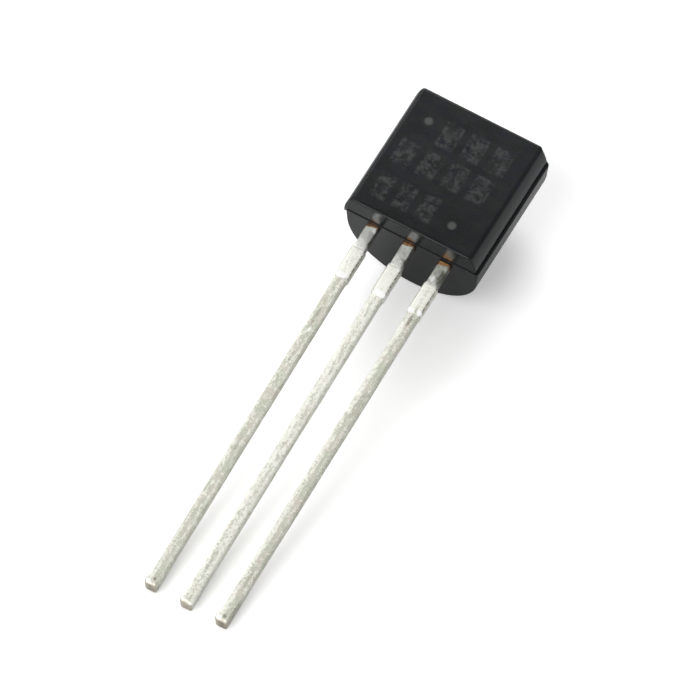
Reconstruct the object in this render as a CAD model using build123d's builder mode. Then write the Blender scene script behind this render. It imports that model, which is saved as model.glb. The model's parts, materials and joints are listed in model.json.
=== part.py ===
from build123d import *
import os
from math import asin, atan2, cos, degrees, hypot, radians, sin, tan

# Silicon controlled rectifier in a three-lead moulded package, lying flat side up.
# It rests on the back edge of the moulding's lower end and on its three lead tips.
#
# The package has its own frame, tilted about X to the rest pose:
#   x  across the leads, cathode at the left and anode at the right
#   y  along the leads, from the middle of the mismatch at the moulding's lower end (0) to its top
#   z  from the mould parting line (0) towards the flat marked face
# All lengths are in millimetres.

# ---------------------------------------------------------------- moulded body
body_width = 4.63           # at the parting line
body_height = 4.55
body_offset = 0.0325        # of the moulding, to the anode side of the gate lead
front_depth = 0.72          # parting line to flat face
back_wall = 0.48            # parting line to the middle of the round back
back_wall_draft = 3.5       # degrees, walls that run into the round back
front_side_radius = 2.30    # bulge of the front half's two sides
flat_inset = 0.22           # each side of the flat, inside the body's width
front_draft = 1.0           # degrees, both ends of the front half
back_draft = 1.7            # degrees, both ends of the back half
mould_shift = 0.085         # sideways mismatch of the two mould halves
mould_step = 0.028          # endways mismatch, the back half nearer the lead tips
flat_side_fillet = 0.15
flat_end_fillet = 0.05
front_corner = 0.12         # corners of the front half at the parting line
back_fillet = 0.09

# ----------------------------------------------------------------- lead frame
lead_pitch = 1.27
lead_length = 14.02
lead_width = 0.38
lead_thickness = 0.40
lead_setback = 0.10         # front of the lead frame, behind the parting line
lead_edge_round = 0.05
tip_pitch = 1.22            # the leads close in slightly towards their tips
tip_drift = 0.24            # and lean to the anode side
tip_round = 0.045
tip_burr = 0.04             # lip that the cutter leaves
tip_burr_length = 0.16

# Sheared remains of the dam bar that joined the leads
dambar_width = 0.46
dambar_start = 0.97
dambar_length = 0.92
dambar_bevel = 0.20
dambar_swell = 0.025        # coined up in front of the lead

# Inside the moulding
frame_gap = 0.32            # between neighbouring parts of the lead frame
flag_width = 2.10
flag_overhang = 0.26        # of the flag, beyond the anode lead's centre line
top_cover = 0.80            # from the moulding's top to the flag
paddle_inset = 0.86         # from the moulding's lower end to the gate's pad
lock_hole = 0.40            # in the flag, filled by the moulding
lock_hole_inset = 0.36
paddle_width = 0.72
paddle_height = 0.70
cathode_paddle_height = 1.05
wrist_width = 0.30          # neck of each inner lead, which locks it in the moulding
wrist_length = 0.28

# ------------------------------------------------------- die and bond wires
die_size = 1.05
die_thickness = 0.22
solder_thickness = 0.03
solder_margin = 0.08
gate_pad_inset = 0.20
cathode_wire_size = 0.125
gate_wire_size = 0.10
loop_height = 0.30          # wire loops above the die
loop_kink = 0.12            # run of the bend at each end of a loop
bond_clearance = 0.22       # bond to the edge of what it is made on

# ------------------------------------------------------------- derived places
half_width = body_width / 2
wall_lean = radians(back_wall_draft)
back_radius = (half_width - back_wall * tan(wall_lean)) * cos(wall_lean)
back_depth = back_wall + back_radius
lead_back = lead_setback + lead_thickness
half_step = mould_step / 2
front_run = front_depth * tan(radians(front_draft))
back_run = back_depth * tan(radians(back_draft))

# The rest pose: the rounded back edge and the rounded lead tips touch the ground together.
edge_y = back_run + back_fillet - half_step
edge_z = back_depth - back_fillet
tip_y = lead_length - tip_round
tip_z = lead_back - tip_round
span_y = tip_y + edge_y
span_z = edge_z - tip_z
tilt = atan2(span_z, span_y) + asin((back_fillet - tip_round) / hypot(span_y, span_z))
seat_height = tip_y * sin(tilt) + tip_z * cos(tilt) + tip_round
far_y = body_height - half_step - back_run - back_fillet
far_end = far_y * cos(tilt) + edge_z * sin(tilt) + back_fillet
near_end = (lead_setback + tip_round) * sin(tilt) - tip_y * cos(tilt) - tip_round
rest_pose = Location((-body_offset, -(far_end + near_end) / 2, seat_height), (degrees(tilt), 0, 0))

flag_right = lead_pitch + flag_overhang
flag_left = flag_right - flag_width
flag_top = body_height - top_cover
flag_bottom = paddle_inset + paddle_height + frame_gap
flag_x = (flag_left + flag_right) / 2
flag_y = (flag_bottom + flag_top) / 2
flag_height = flag_top - flag_bottom
gate_paddle_y = paddle_inset + paddle_height / 2
cathode_paddle_right = flag_left - frame_gap
cathode_paddle_x = cathode_paddle_right - paddle_width / 2
cathode_paddle_y = flag_bottom + cathode_paddle_height / 2
die_top = solder_thickness + die_thickness     # above the front of the lead frame


def nested(outer, inner):
    """Plane that lies in the outer place as the inner plane lies in the world."""
    return Plane(outer * inner.location)


def frame_plane(x, y, z=0.0, turn=0.0):
    """Plane on the lead frame's front or z above it, centred on a place in the package frame."""
    return Plane(rest_pose * Location((x, y, z - lead_setback), (0, 0, turn)))


def draw_shank(exit_x, tip_x):
    """Add the outer run of one lead: shank, dam bar remains and cut tip."""
    run = hypot(tip_x - exit_x, lead_length)
    lean = degrees(atan2(tip_x - exit_x, lead_length))
    lead_plane = frame_plane(exit_x, 0, turn=lean)

    with BuildSketch(nested(lead_plane.location, Plane.XZ)) as shank:
        with Locations((0, -lead_thickness / 2)):
            RectangleRounded(lead_width, lead_thickness, lead_edge_round)
    extrude(shank.sketch, amount=run)
    cut_end = faces().sort_by(Axis(lead_plane.origin, -lead_plane.y_dir))[-1]
    fillet(cut_end.edges(), radius=tip_round)

    # Lip at the cathode side of the cut end
    with BuildSketch(lead_plane) as lip:
        with BuildLine():
            Polyline(
                (0, -run + tip_round),
                (-lead_width / 2 - tip_burr, -run + tip_round),
                (-lead_width / 2 + tip_burr, -run + tip_burr_length + tip_round),
                (0, -run + tip_burr_length + tip_round),
                close=True,
            )
        make_face()
    extrude(lip.sketch, amount=-lead_thickness / 2)

    # Dam bar remains, wider than the shank and coined up in front of it
    dambar_end = dambar_start + dambar_length
    with BuildSketch(nested(lead_plane.location, Plane.YZ)) as profile:
        with BuildLine():
            Polyline(
                (-dambar_start + dambar_bevel / 2, -lead_edge_round),
                (-dambar_start, dambar_swell),
                (-dambar_end, dambar_swell),
                (-dambar_end - dambar_bevel, -lead_edge_round),
                (-dambar_end - dambar_bevel, lead_edge_round - lead_thickness),
                (-dambar_start + dambar_bevel / 2, lead_edge_round - lead_thickness),
                close=True,
            )
        make_face()
    extrude(profile.sketch, amount=dambar_width / 2, both=True)


def draw_inner_neck(exit_x, top):
    """Add the inner run of one lead, from the moulding's end up to its paddle or flag."""
    half = lead_width / 2
    wrist = wrist_width / 2
    wrist_bottom = top - wrist_length - half
    with BuildSketch(frame_plane(exit_x, 0)) as neck:
        with BuildLine():
            Polyline(
                (-half, 0),
                (-half, wrist_bottom),
                (-wrist, wrist_bottom + half - wrist),
                (-wrist, top),
                (wrist, top),
                (wrist, wrist_bottom + half - wrist),
                (half, wrist_bottom),
                (half, 0),
                close=True,
            )
        make_face()
    extrude(neck.sketch, amount=-lead_thickness)


def draw_paddle(x, y, width, height):
    """Add a flat pad of the lead frame, centred on a place in the package frame."""
    with BuildSketch(frame_plane(x, y)) as pad:
        RectangleRounded(width, height, lead_edge_round)
    extrude(pad.sketch, amount=-lead_thickness)


def draw_bond_wire(start, end, size):
    """Add one bond wire as a kinked loop, from the die's top to a pad of the lead frame."""
    run_x = end[0] - start[0]
    run_y = end[1] - start[1]
    run = hypot(run_x, run_y)
    along = frame_plane(start[0], start[1], turn=degrees(atan2(run_y, run_x)))
    loop_top = die_top + loop_height
    with BuildLine(nested(along.location, Plane.XZ)) as loop:
        Polyline(
            (0, die_top),
            (0, loop_top - loop_kink),
            (loop_kink, loop_top),
            (run - loop_kink, loop_top),
            (run, loop_top - loop_kink),
            (run, 0),
        )
    with BuildSketch(along.offset(die_top)) as wire_section:
        Circle(size / 2)
    sweep(wire_section.sketch, path=loop.line, transition=Transition.RIGHT)


# ------------------------------------------------------------------ lead frame
with BuildPart() as cathode_lead:
    draw_shank(-lead_pitch, tip_drift - tip_pitch)
    draw_inner_neck(-lead_pitch, flag_bottom)
    draw_paddle(cathode_paddle_x, cathode_paddle_y, paddle_width, cathode_paddle_height)

with BuildPart() as gate_lead:
    draw_shank(0, tip_drift)
    draw_inner_neck(0, paddle_inset)
    draw_paddle(0, gate_paddle_y, paddle_width, paddle_height)

with BuildPart() as anode_lead:
    draw_shank(lead_pitch, tip_drift + tip_pitch)
    draw_inner_neck(lead_pitch, flag_bottom)
    draw_paddle(flag_x, flag_y, flag_width, flag_height)
    with BuildSketch(frame_plane(flag_left + lock_hole_inset, flag_top - lock_hole_inset)):
        Circle(lock_hole / 2)
    extrude(amount=-lead_thickness, mode=Mode.SUBTRACT)

# ---------------------------------------------------------- die on its flag
die_x = flag_right - die_size / 2 - bond_clearance
die_y = flag_bottom + die_size / 2 + bond_clearance
with BuildPart() as die_solder:
    with BuildSketch(frame_plane(die_x, die_y)):
        Rectangle(die_size + solder_margin, die_size + solder_margin)
    extrude(amount=solder_thickness)

with BuildPart() as thyristor_die:
    with BuildSketch(frame_plane(die_x, die_y, solder_thickness)):
        Rectangle(die_size, die_size)
    extrude(amount=die_thickness)

# ------------------------------------------------------------------ bond wires
gate_pad = (die_x - die_size / 2 + gate_pad_inset, die_y - die_size / 2 + gate_pad_inset)
with BuildPart() as cathode_wire:
    draw_bond_wire((die_x, die_y), (cathode_paddle_x, cathode_paddle_y), cathode_wire_size)

with BuildPart() as gate_wire:
    draw_bond_wire(gate_pad, (0, gate_paddle_y), gate_wire_size)

# ---------------------------------------------------------------- moulded body
front_x = body_offset - mould_shift / 2
back_x = body_offset + mould_shift / 2
front_left = front_x - half_width
front_right = front_x + half_width
flat_left = front_left + flat_inset
flat_right = front_right - flat_inset
front_start = half_step
front_end = half_step + body_height
back_start = -half_step
back_end = body_height - half_step
wall_end_x = back_radius * cos(wall_lean)
wall_end_z = -back_wall - back_radius * sin(wall_lean)
section_plane = nested(rest_pose, Plane.XZ)
side_plane = nested(rest_pose, Plane.YZ)
parting_plane = Plane(rest_pose)

with BuildPart() as front_half:
    # Bulged sides, from the parting line up to the flat marked face
    with BuildSketch(section_plane.offset(-front_start)) as front_section:
        with BuildLine():
            Line((front_left, 0), (front_right, 0))
            RadiusArc((front_right, 0), (flat_right, front_depth), -front_side_radius)
            Line((flat_right, front_depth), (flat_left, front_depth))
            RadiusArc((flat_left, front_depth), (front_left, 0), -front_side_radius)
        make_face()
        fillet(vertices().group_by(Axis.Y)[-1], radius=flat_side_fillet)
    extrude(amount=-body_height)
    with BuildSketch(side_plane) as front_profile:
        with BuildLine():
            Polyline(
                (front_start, 0),
                (front_start + front_run, front_depth),
                (front_end - front_run, front_depth),
                (front_end, 0),
                close=True,
            )
        make_face()
        fillet(vertices().group_by(Axis.Y)[-1], radius=flat_end_fillet)
    extrude(amount=body_width, both=True, mode=Mode.INTERSECT)
    with BuildSketch(parting_plane) as front_outline:
        with Locations((front_x, front_start + body_height / 2)):
            RectangleRounded(body_width, body_height, front_corner)
    extrude(amount=front_depth, mode=Mode.INTERSECT)

with BuildPart() as moulded_body:
    # Back half, moved to the anode side by the mismatch: drafted walls and a round back
    with BuildSketch(section_plane.offset(-back_start)) as back_section:
        with BuildLine():
            Line((back_x + half_width, 0), (back_x - half_width, 0))
            Line((back_x - half_width, 0), (back_x - wall_end_x, wall_end_z))
            CenterArc((back_x, -back_wall), back_radius, 180 + back_wall_draft, 180 - 2 * back_wall_draft)
            Line((back_x + wall_end_x, wall_end_z), (back_x + half_width, 0))
        make_face()
    extrude(amount=-body_height)
    with BuildSketch(side_plane) as back_profile:
        with BuildLine():
            Polyline(
                (back_start, 0),
                (back_end, 0),
                (back_end - back_run, -back_depth),
                (back_start + back_run, -back_depth),
                close=True,
            )
        make_face()
    extrude(amount=body_width, both=True, mode=Mode.INTERSECT)
    end_faces = faces().filter_by(lambda face: abs(face.normal_at().dot(side_plane.x_dir)) > 0.99)
    rims = [edge for face in end_faces for edge in face.edges()]
    parting_face = faces().sort_by(Axis(rest_pose.position, parting_plane.z_dir))[-1]
    fillet([edge for edge in rims if edge not in parting_face.edges()], radius=back_fillet)
    add(front_half.part)

    # The moulding closes round everything that it holds
    for held in (cathode_lead, gate_lead, anode_lead, die_solder, thyristor_die, cathode_wire, gate_wire):
        add(held.part, mode=Mode.SUBTRACT)

# -------------------------------------------------------------------- export
os.makedirs("parts", exist_ok=True)
nodes = {
    "moulded_body": moulded_body,
    "cathode_lead": cathode_lead,
    "gate_lead": gate_lead,
    "anode_lead": anode_lead,
    "thyristor_die": thyristor_die,
    "die_solder": die_solder,
    "cathode_wire": cathode_wire,
    "gate_wire": gate_wire,
}
for label, node in nodes.items():
    node.part.label = label
    export_step(node.part, f"parts/{label}.step")
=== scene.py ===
import json
import logging
import math
from dataclasses import dataclass

import bmesh
import bpy
from mathutils import Euler, Matrix, Vector, noise


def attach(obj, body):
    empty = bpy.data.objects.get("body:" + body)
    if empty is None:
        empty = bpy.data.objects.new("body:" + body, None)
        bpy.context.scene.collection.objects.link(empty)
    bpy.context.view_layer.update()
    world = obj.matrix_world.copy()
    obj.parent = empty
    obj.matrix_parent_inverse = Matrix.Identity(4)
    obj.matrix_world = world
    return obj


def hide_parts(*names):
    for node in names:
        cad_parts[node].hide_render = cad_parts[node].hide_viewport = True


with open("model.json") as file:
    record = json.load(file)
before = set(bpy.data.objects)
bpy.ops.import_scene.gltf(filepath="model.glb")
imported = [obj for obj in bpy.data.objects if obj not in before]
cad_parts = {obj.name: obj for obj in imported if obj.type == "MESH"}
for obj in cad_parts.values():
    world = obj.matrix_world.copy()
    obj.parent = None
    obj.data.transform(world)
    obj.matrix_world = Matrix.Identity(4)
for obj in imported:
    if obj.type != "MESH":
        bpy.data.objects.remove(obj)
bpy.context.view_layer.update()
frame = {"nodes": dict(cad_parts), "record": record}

MM = 0.001
ROOT = "root"
# Added to a lead's depth once for each lead's number, so that one finish can tell the leads apart
LEAD_STEP = 10.0
# Points nearer to a plane than this lie on it, and points nearer to each other are one
NEAR = 1e-5
# A cut passes through the points that are nearer to it than this
CUT_NEAR = 1e-6
# Sockets of a Mix node that hold its two colours and its mixed colour
MIX_COLOURS = (6, 7)
MIX_RESULT = 2
LOG = logging.getLogger("rectifier")

Socket = bpy.types.NodeSocket
Colour = tuple[float, float, float, float]
Value = Socket | float | Colour
Pair = tuple[float, float]
Point = tuple[float, float, float]
Geometry = list[bmesh.types.BMVert | bmesh.types.BMEdge | bmesh.types.BMFace]


# ------------------------------------------------------------ the package's place
@dataclass(frozen=True)
class PackageFrame:
    """Place of the package's own axes in the row frame.

    Inside the package, lengths are in millimetres: x runs across the leads, y along them
    towards the moulding's top, and z from the mould parting plane out of the flat face.

    Attributes:
        origin: middle of the row of leads, at the moulding's lower end, on the parting plane.
        tilt: turn of the package about the row's X axis, in radians.
    """

    origin: Vector
    tilt: float

    @classmethod
    def from_frame(cls, left: float, lower_end: float, flat: float) -> "PackageFrame":
        """Read the package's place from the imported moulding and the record's flat face.

        Args:
            left: the moulding's extreme left, in the package's x.
            lower_end: the moulding's extreme lower end, in the package's y.
            flat: height of the flat face, in the package's z.

        Returns:
            The package's place in the row frame.
        """
        mounts = {mount["name"]: mount for mount in frame["record"]["mounts"]}
        out = Vector(mounts["flat_face"]["axis"]).normalized()
        along = out.cross(Vector((1, 0, 0)))
        corners = [vertex.co for vertex in frame["nodes"]["moulded_body"].data.vertices]
        origin = Vector((min(corner.x for corner in corners) - left * MM, 0, 0))
        origin += along * (min(corner.dot(along) for corner in corners) - lower_end * MM)
        origin += out * (max(corner.dot(out) for corner in corners) - flat * MM)
        return cls(origin=origin, tilt=math.atan2(-out.y, out.z))

    def matrix(self) -> Matrix:
        """Return the matrix that takes package millimetres to the row frame's metres."""
        turn = Matrix.Rotation(self.tilt, 4, "X")
        return Matrix.Translation(self.origin) @ turn @ Matrix.Diagonal((MM, MM, MM, 1))


# ----------------------------------------------------------------- shader helpers
@dataclass(frozen=True)
class Grain:
    """A noise pattern of a finish.

    Attributes:
        scale: cells in a millimetre.
        detail: number of finer layers.
        rough: weight of the finer layers.
        stretch: factor on the cells of each axis, or None where the pattern is even.
    """

    scale: float
    detail: float
    rough: float
    stretch: Point | None = None


@dataclass(frozen=True)
class Fade:
    """A smooth change of a value.

    Attributes:
        start: where the change starts.
        end: where the change ends.
        at_start: the result up to its start.
        at_end: the result from its end on.
    """

    start: float
    end: float
    at_start: float = 0.0
    at_end: float = 1.0


@dataclass(frozen=True)
class ShadedPoint:
    """The place of the shaded point, whole and along each axis, in millimetres.

    Attributes:
        whole: the place as one vector.
        across: its part across the leads.
        along: its part along the leads, positive inside the moulding.
        out: its part out of the front; on a lead it also holds LEAD_STEP for each number.
    """

    whole: Socket
    across: Socket
    along: Socket
    out: Socket


class NodeBench:
    """Short ways to add and join shader nodes in one node tree."""

    def __init__(self, tree: bpy.types.NodeTree, package: PackageFrame) -> None:
        """Keep the tree that the nodes go into.

        Args:
            tree: node tree of one material or world.
            package: place of the package, for patterns that follow its axes.
        """
        self.tree = tree
        self.package = package

    def add(self, kind: str, **settings: str | bool) -> bpy.types.Node:
        """Add one node.

        Args:
            kind: the node's type name, without its ShaderNode prefix.
            **settings: attributes to set on the node.

        Returns:
            The new node.
        """
        node = self.tree.nodes.new("ShaderNode" + kind)
        for name, value in settings.items():
            setattr(node, name, value)
        return node

    def feed(self, socket: Socket, source: Value) -> None:
        """Link a socket to a source, or set it if the source is a plain value.

        Args:
            socket: the input to fill.
            source: another node's output, or a plain value.
        """
        if isinstance(source, bpy.types.NodeSocket):
            self.tree.links.new(source, socket)
        else:
            socket.default_value = source

    def point(self, whole: Socket) -> ShadedPoint:
        """Split a place along its axes.

        Args:
            whole: the place as one vector.

        Returns:
            The place, whole and split.
        """
        node = self.add("SeparateXYZ")
        self.feed(node.inputs[0], whole)
        return ShadedPoint(whole, *node.outputs)

    def millimetres(self) -> Socket:
        """Find the place of the shaded point in the package.

        Returns:
            The place, in the package's millimetres.
        """
        mapping = self.add("Mapping", vector_type="TEXTURE")
        self.feed(mapping.inputs["Vector"], self.add("TexCoord").outputs["Object"])
        mapping.inputs["Location"].default_value = self.package.origin
        mapping.inputs["Rotation"].default_value = Euler((self.package.tilt, 0, 0))
        mapping.inputs["Scale"].default_value = (MM, MM, MM)
        return mapping.outputs["Vector"]

    def math(
        self, operation: str, first: Value, second: Value = 0.0, third: Value = 0.0, clamp: bool = False
    ) -> Socket:
        """Work out one sum.

        Args:
            operation: the Math node's operation.
            first: its first value.
            second: its second value.
            third: its third value.
            clamp: whether the result is kept between 0 and 1.

        Returns:
            The result.
        """
        node = self.add("Math", operation=operation, use_clamp=clamp)
        for socket, source in zip(node.inputs, (first, second, third)):
            self.feed(socket, source)
        return node.outputs[0]

    def product(self, *factors: Value) -> Socket:
        """Multiply two or more values, from the first on.

        Args:
            *factors: the values.

        Returns:
            Their product.
        """
        result = factors[0]
        for factor in factors[1:]:
            result = self.math("MULTIPLY", result, factor)
        return result

    def noise(self, place: Socket, grain: Grain) -> Socket:
        """Add a noise pattern.

        Args:
            place: where the noise is read.
            grain: the noise's pattern.

        Returns:
            The noise, from 0 to 1.
        """
        if grain.stretch is not None:
            stretched = self.add("VectorMath", operation="MULTIPLY")
            self.feed(stretched.inputs[0], place)
            stretched.inputs[1].default_value = grain.stretch
            place = stretched.outputs["Vector"]
        node = self.add("TexNoise")
        self.feed(node.inputs["Vector"], place)
        node.inputs["Scale"].default_value = grain.scale
        node.inputs["Detail"].default_value = grain.detail
        node.inputs["Roughness"].default_value = grain.rough
        return node.outputs["Fac"]

    def ramp(
        self, value: Value, start: float, end: float, at_start: float = 0.0, at_end: float = 1.0
    ) -> Socket:
        """Take a value smoothly from one range to another.

        Args:
            value: the value.
            start: where the change starts.
            end: where the change ends.
            at_start: the result up to its start.
            at_end: the result from its end on.

        Returns:
            The changed value.
        """
        node = self.add("MapRange", interpolation_type="SMOOTHSTEP")
        for socket, source in zip(node.inputs, (value, start, end, at_start, at_end)):
            self.feed(socket, source)
        return node.outputs[0]

    def fade(self, value: Value, fade: Fade) -> Socket:
        """Return a value after a named change."""
        return self.ramp(value, fade.start, fade.end, fade.at_start, fade.at_end)

    def window(self, value: Value, low: float, high: float, soft: float) -> Socket:
        """Pick out a range of a value.

        Args:
            value: the value.
            low: lower bound of the range.
            high: upper bound of the range.
            soft: half width of its soft bounds.

        Returns:
            1 inside the range, and 0 outside it.
        """
        rise = self.ramp(value, low - soft, low + soft)
        fall = self.ramp(value, high - soft, high + soft, 1.0, 0.0)
        return self.product(rise, fall)

    def reach(self, first: Socket, first_centre: float, second: Socket, second_centre: float) -> Socket:
        """Measure how far the shaded point is from a centre, in a plane.

        Args:
            first: the point's first coordinate.
            first_centre: the centre's first coordinate.
            second: the point's second coordinate.
            second_centre: the centre's second coordinate.

        Returns:
            The distance.
        """
        first = self.math("SUBTRACT", first, first_centre)
        second = self.math("SUBTRACT", second, second_centre)
        squares = self.math("MULTIPLY_ADD", first, first, self.product(second, second))
        return self.math("SQRT", squares)

    def blend(self, share: Value, first: Value, second: Value) -> Socket:
        """Mix two colours.

        Args:
            share: share of the second colour.
            first: the first colour.
            second: the second colour.

        Returns:
            The mixed colour.
        """
        node = self.add("Mix", data_type="RGBA")
        self.feed(node.inputs["Factor"], share)
        for place, source in zip(MIX_COLOURS, (first, second)):
            self.feed(node.inputs[place], source)
        return node.outputs[MIX_RESULT]

    def bump(self, height: Socket, depth: float, normal: Socket | None = None) -> Socket:
        """Bend the surface's normal by a height field.

        Args:
            height: height value, where 1 stands for the full depth.
            depth: full depth, in millimetres.
            normal: a normal to build on, or None for the surface's own.

        Returns:
            The bent normal.
        """
        node = self.add("Bump")
        node.inputs["Distance"].default_value = depth * MM
        self.feed(node.inputs["Height"], height)
        if normal is not None:
            self.feed(node.inputs["Normal"], normal)
        return node.outputs["Normal"]


# ------------------------------------------------------------------------ finishes
@dataclass(frozen=True)
class Finish:
    """A finish that dresses meshes with one procedural material."""

    name: str

    def material(self, package: PackageFrame) -> bpy.types.Material:
        """Make the finish's material, or find it if it is made already.

        Args:
            package: place of the package.

        Returns:
            The material.
        """
        made = bpy.data.materials.get(self.name)
        if made is not None:
            return made
        made = bpy.data.materials.new(self.name)
        made.use_nodes = True
        shader = made.node_tree.nodes["Principled BSDF"]
        self.dress(NodeBench(made.node_tree, package), shader)
        return made

    def dress(self, bench: NodeBench, shader: bpy.types.Node) -> None:
        """Wire the finish's own nodes into its shader."""
        raise NotImplementedError


@dataclass(frozen=True)
class MarkRow:
    """One row of worn generic blocks on the flat face, in package millimetres.

    Attributes:
        middle_y: height of the row's middle.
        start_x: where its first block starts.
        end_x: where its last block ends.
        pitch: distance from one block to the next.
    """

    middle_y: float
    start_x: float
    end_x: float
    pitch: float


@dataclass(frozen=True)
class EpoxyFinish(Finish):
    """Black moulded epoxy, glossy on its sides and finely matt on its flat face."""

    name: str = "black_epoxy"
    base: Colour = (0.0090, 0.0105, 0.0110, 1)
    lifted: Colour = (0.0140, 0.0162, 0.0140, 1)
    cool: Colour = (0.0094, 0.0115, 0.0180, 1)
    deep: Colour = (0.0030, 0.0042, 0.0042, 1)
    mark: Colour = (0.066, 0.076, 0.071, 1)
    side_roughness: float = 0.20
    flat_roughness: float = 0.27
    refraction: float = 1.5
    sheen: float = 0.33
    # Mottling of the moulding compound, and a darker lower right corner
    cloud: Grain = Grain(1.8, 2.0, 0.5)
    speck: Grain = Grain(14.0, 3.0, 0.7)
    lifted_share: Fade = Fade(0.34, 0.66)
    tint: Grain = Grain(3.1, 3.0, 0.6, (1.0, 1.3, 1.0))
    tint_share: Fade = Fade(0.42, 0.70)
    lower_right_slant: float = -0.35
    lower_right_share: Fade = Fade(3.0, 0.0, 0.0, 0.55)
    smear: Grain = Grain(1.3, 2.0, 0.5, (1.0, 1.8, 1.0))
    smear_gloss: Fade = Fade(0.3, 0.7, -0.02, 0.03)
    swell: Grain = Grain(1.1, 1.0, 0.5)
    swell_depth: float = 0.006
    pores: Grain = Grain(34.0, 3.0, 0.6)
    pore_depth: float = 0.0007
    # Worn marks on the flat face
    flat_height: float = 0.72
    mark_depth: float = 0.05
    mark_margin: float = 0.015
    wear: Grain = Grain(5.0, 4.0, 0.75)
    wear_share: Fade = Fade(0.40, 0.62)
    dots: tuple[Pair, ...] = ((-1.37, 3.58), (1.03, 0.78))
    dot_radius: float = 0.13
    dot_blur: float = 0.05
    rows: tuple[MarkRow, ...] = (
        MarkRow(3.42, -0.86, 1.78, 0.88),
        MarkRow(2.26, -1.78, 1.74, 0.88),
        MarkRow(0.92, -1.74, 0.60, 0.78),
    )
    block_height: float = 0.92
    block_gap: float = 0.24
    block_blur: float = 0.03
    row_blur: float = 0.05
    block_strength: float = 0.55
    # Scratch on the lower end: its centre in x and z, and its radius
    scratch: Point = (1.62, -1.10, 0.42)
    scratch_width: Fade = Fade(0.020, 0.006, 0.0, 0.35)
    scratch_side: Fade = Fade(-0.10, 0.10)
    scratch_height: Fade = Fade(0.10, 0.05)

    def dress(self, bench: NodeBench, shader: bpy.types.Node) -> None:
        """Wire the epoxy's colour, worn marks, gloss and grain.

        Args:
            bench: node helpers for this material.
            shader: the material's shader.
        """
        point = bench.point(bench.millimetres())
        flat = self.flat_height
        on_flat = bench.ramp(point.out, flat - self.mark_depth, flat - self.mark_margin)
        cloud = bench.noise(point.whole, self.cloud)
        speck = bench.noise(point.whole, self.speck)
        tone = bench.math("MULTIPLY_ADD", cloud, 0.5, bench.product(speck, 0.5))
        body = bench.blend(bench.fade(tone, self.lifted_share), self.base, self.lifted)
        tint = bench.fade(bench.noise(point.whole, self.tint), self.tint_share)
        body = bench.blend(tint, body, self.cool)
        # Darker towards the lower right corner
        corner = bench.math("MULTIPLY_ADD", point.across, self.lower_right_slant, point.along)
        body = bench.blend(bench.fade(corner, self.lower_right_share), body, self.deep)
        marks = bench.product(self.worn_marks(bench, point), on_flat)
        lighter = bench.math("ADD", marks, self.scratch_line(bench, point), clamp=True)
        bench.feed(shader.inputs["Base Color"], bench.blend(lighter, body, self.mark))
        gloss = bench.fade(bench.noise(point.whole, self.smear), self.smear_gloss)
        rough = bench.ramp(on_flat, 0.0, 1.0, self.side_roughness, self.flat_roughness)
        bench.feed(shader.inputs["Roughness"], bench.math("ADD", rough, gloss))
        shader.inputs["IOR"].default_value = self.refraction
        shader.inputs["Specular IOR Level"].default_value = self.sheen
        swell = bench.bump(bench.noise(point.whole, self.swell), self.swell_depth)
        pores = bench.bump(bench.noise(point.whole, self.pores), self.pore_depth, swell)
        bench.feed(shader.inputs["Normal"], pores)

    def worn_marks(self, bench: NodeBench, point: ShadedPoint) -> Socket:
        """Mask the worn generic marks: two dots and three rows of blocks.

        Args:
            bench: node helpers for this material.
            point: place of the shaded point.

        Returns:
            The mask, which also reaches behind the flat face.
        """
        half, half_gap = self.block_height / 2, self.block_gap / 2
        blocks = 0.0
        for row in self.rows:
            inside = bench.window(point.across, row.start_x, row.end_x, self.block_blur)
            high = bench.window(point.along, row.middle_y - half, row.middle_y + half, self.row_blur)
            step = bench.math("SUBTRACT", point.across, row.start_x - half_gap)
            step = bench.math("PINGPONG", step, row.pitch / 2)
            gap = bench.ramp(step, half_gap - self.block_blur, half_gap + self.row_blur)
            blocks = bench.math("ADD", blocks, bench.product(inside, high, gap))
        worn = bench.fade(bench.noise(point.whole, self.wear), self.wear_share)
        marks = bench.product(blocks, bench.product(worn, self.block_strength))
        for dot_x, dot_y in self.dots:
            reach = bench.reach(point.across, dot_x, point.along, dot_y)
            dot = bench.ramp(reach, self.dot_radius + self.dot_blur, self.dot_radius - self.dot_blur)
            marks = bench.math("ADD", marks, dot)
        return marks

    def scratch_line(self, bench: NodeBench, point: ShadedPoint) -> Socket:
        """Mask a faint arc-shaped scratch on the lower end, beside the right lead.

        Args:
            bench: node helpers for this material.
            point: place of the shaded point.

        Returns:
            The mask.
        """
        centre_x, centre_z, radius = self.scratch
        reach = bench.reach(point.across, centre_x, point.out, centre_z)
        ring = bench.math("ABSOLUTE", bench.math("SUBTRACT", reach, radius))
        slant = bench.math("ADD", point.across, point.out)
        side = bench.fade(bench.math("SUBTRACT", slant, centre_x + centre_z), self.scratch_side)
        low = bench.fade(point.along, self.scratch_height)
        return bench.product(bench.fade(ring, self.scratch_width), side, low)


@dataclass(frozen=True)
class Spot:
    """One spot of the plating: a stain or pit, or a painted highlight.

    Attributes:
        lead: the number of the lead that carries it.
        across: its place across the lead's front, from the lead's middle.
        reach: its distance from the moulding.
        width: its half width across the lead.
        length: its half length along the lead.
        depth: how strongly it shows, from 0 to 1.
    """

    lead: int
    across: float
    reach: float
    width: float
    length: float
    depth: float


@dataclass(frozen=True)
class LeadTone:
    """How one lead's plating and bare root differ from its neighbours'.

    Attributes:
        lead: the number of the lead.
        wear: added to the dullness of its plating.
        right_shade: painted shade on its right half, added to its dullness.
        neck_painted_shade: share of painted shade on its bare neck.
        burnt: share of the darker tone in its copper.
        copper_reach: how far its copper shows from the moulding.
        root_shade_reach: how far the painted shade round its root reaches.
        flank: share of painted shade on its neck's right side.
    """

    lead: int
    wear: float
    right_shade: float
    neck_painted_shade: float
    burnt: float
    copper_reach: float
    root_shade_reach: float
    flank: float


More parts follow.
